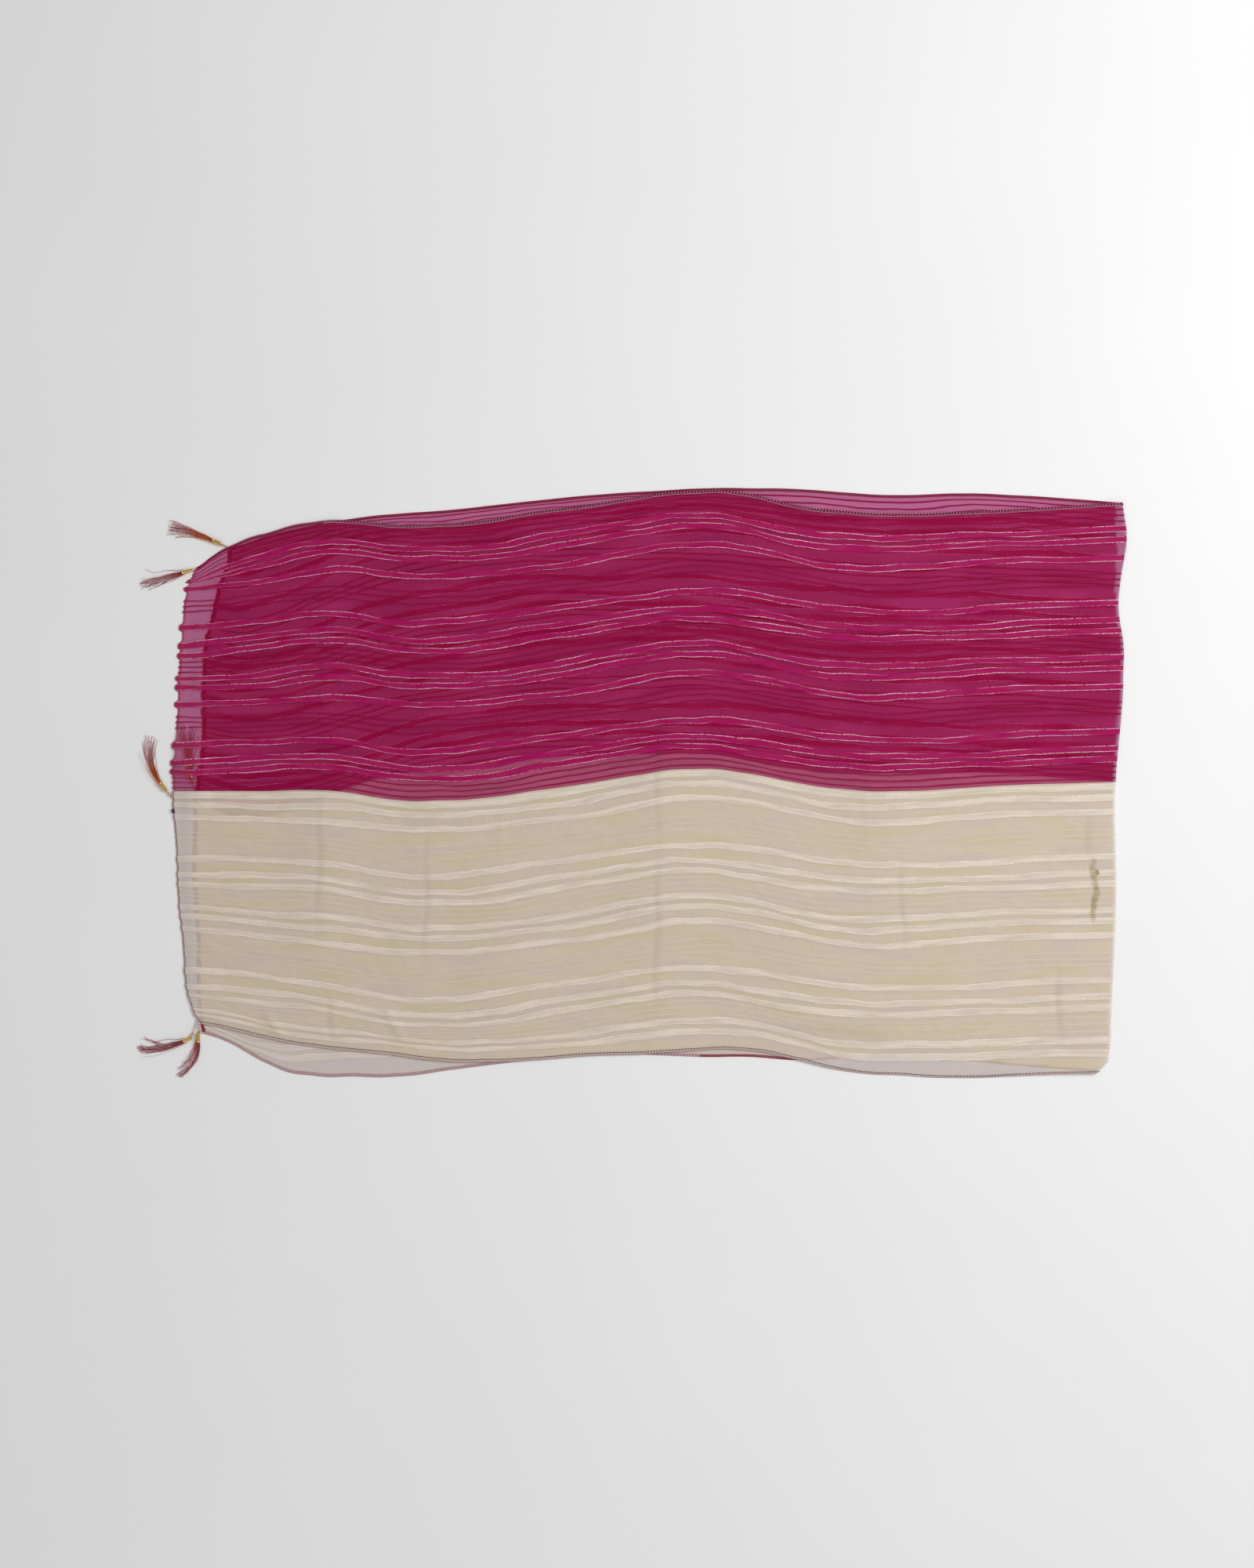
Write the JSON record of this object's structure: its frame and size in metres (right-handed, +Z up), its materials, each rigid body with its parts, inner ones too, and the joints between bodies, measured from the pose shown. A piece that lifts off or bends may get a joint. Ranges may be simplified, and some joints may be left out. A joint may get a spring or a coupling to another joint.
{
  "type": "scarf",
  "caption": "Sheer two-tone striped scarf, magenta and cream halves sewn lengthwise, folded once and laid flat, with stitched edging and beaded tassels.",
  "frame": {"origin": "bottom centre of the bounding box, on the surface that the scarf lies on", "axes": "+X from the cut ends to the fold, +Y across the width from the cream edge to the magenta edge, +Z up"},
  "size_m": [1.1728, 0.6988, 0.0068],
  "materials": {
    "magenta_cloth": "sheer woven stripes with silver thread",
    "cream_cloth": "sheer woven stripes with silver thread",
    "edging_thread": "overlocked two-colour thread",
    "tassel_thread": "loose multi-colour thread",
    "gold_bead": "polished"
  },
  "bodies": {
    "root": {"magenta_panel": "magenta_cloth", "cream_panel": "cream_cloth", "edging_magenta": "edging_thread", "edging_cream": "edging_thread", "edging_end_upper": "edging_thread", "edging_end_lower": "edging_thread", "tassel_1": "tassel_thread", "tassel_2": "tassel_thread", "tassel_3": "tassel_thread", "tassel_4": "tassel_thread", "tassel_5": "tassel_thread", "tassel_6": "tassel_thread", "tassel_tube_1": "gold_bead", "tassel_tube_2": "gold_bead", "tassel_tube_3": "gold_bead", "tassel_tube_4": "gold_bead", "tassel_tube_5": "gold_bead", "tassel_tube_6": "gold_bead"}
  },
  "joints": []
}
